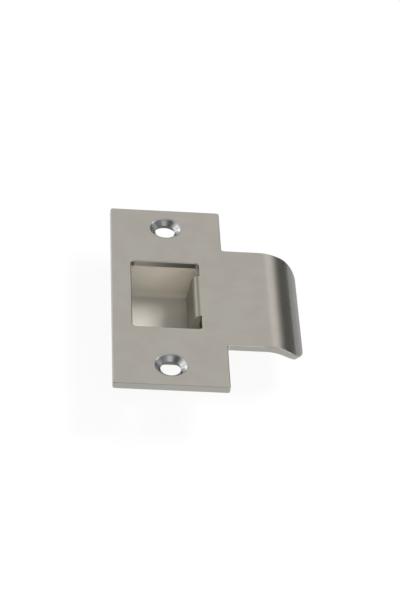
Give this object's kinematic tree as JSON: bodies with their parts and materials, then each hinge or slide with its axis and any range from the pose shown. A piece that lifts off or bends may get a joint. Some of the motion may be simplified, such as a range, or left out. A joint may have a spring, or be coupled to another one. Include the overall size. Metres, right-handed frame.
{
  "type": "door strike plate",
  "caption": "T-shaped door strike plate with a curved lip, countersunk screw holes, a latch opening with a folded tongue, and a dust box behind the opening.",
  "frame": {"origin": "midway between the screw holes, on the plane of the plate's back", "axes": "+Z out of the plate's face, +X from the plate towards the lip, +Y along the plate"},
  "size_m": [0.048, 0.0698, 0.0122],
  "materials": {
    "satin_nickel": "satin nickel over pressed steel",
    "box_sheet": "matte pale coating on thin steel sheet"
  },
  "bodies": {
    "root": {"strike_plate": "satin_nickel", "dust_box": "box_sheet"}
  },
  "joints": []
}
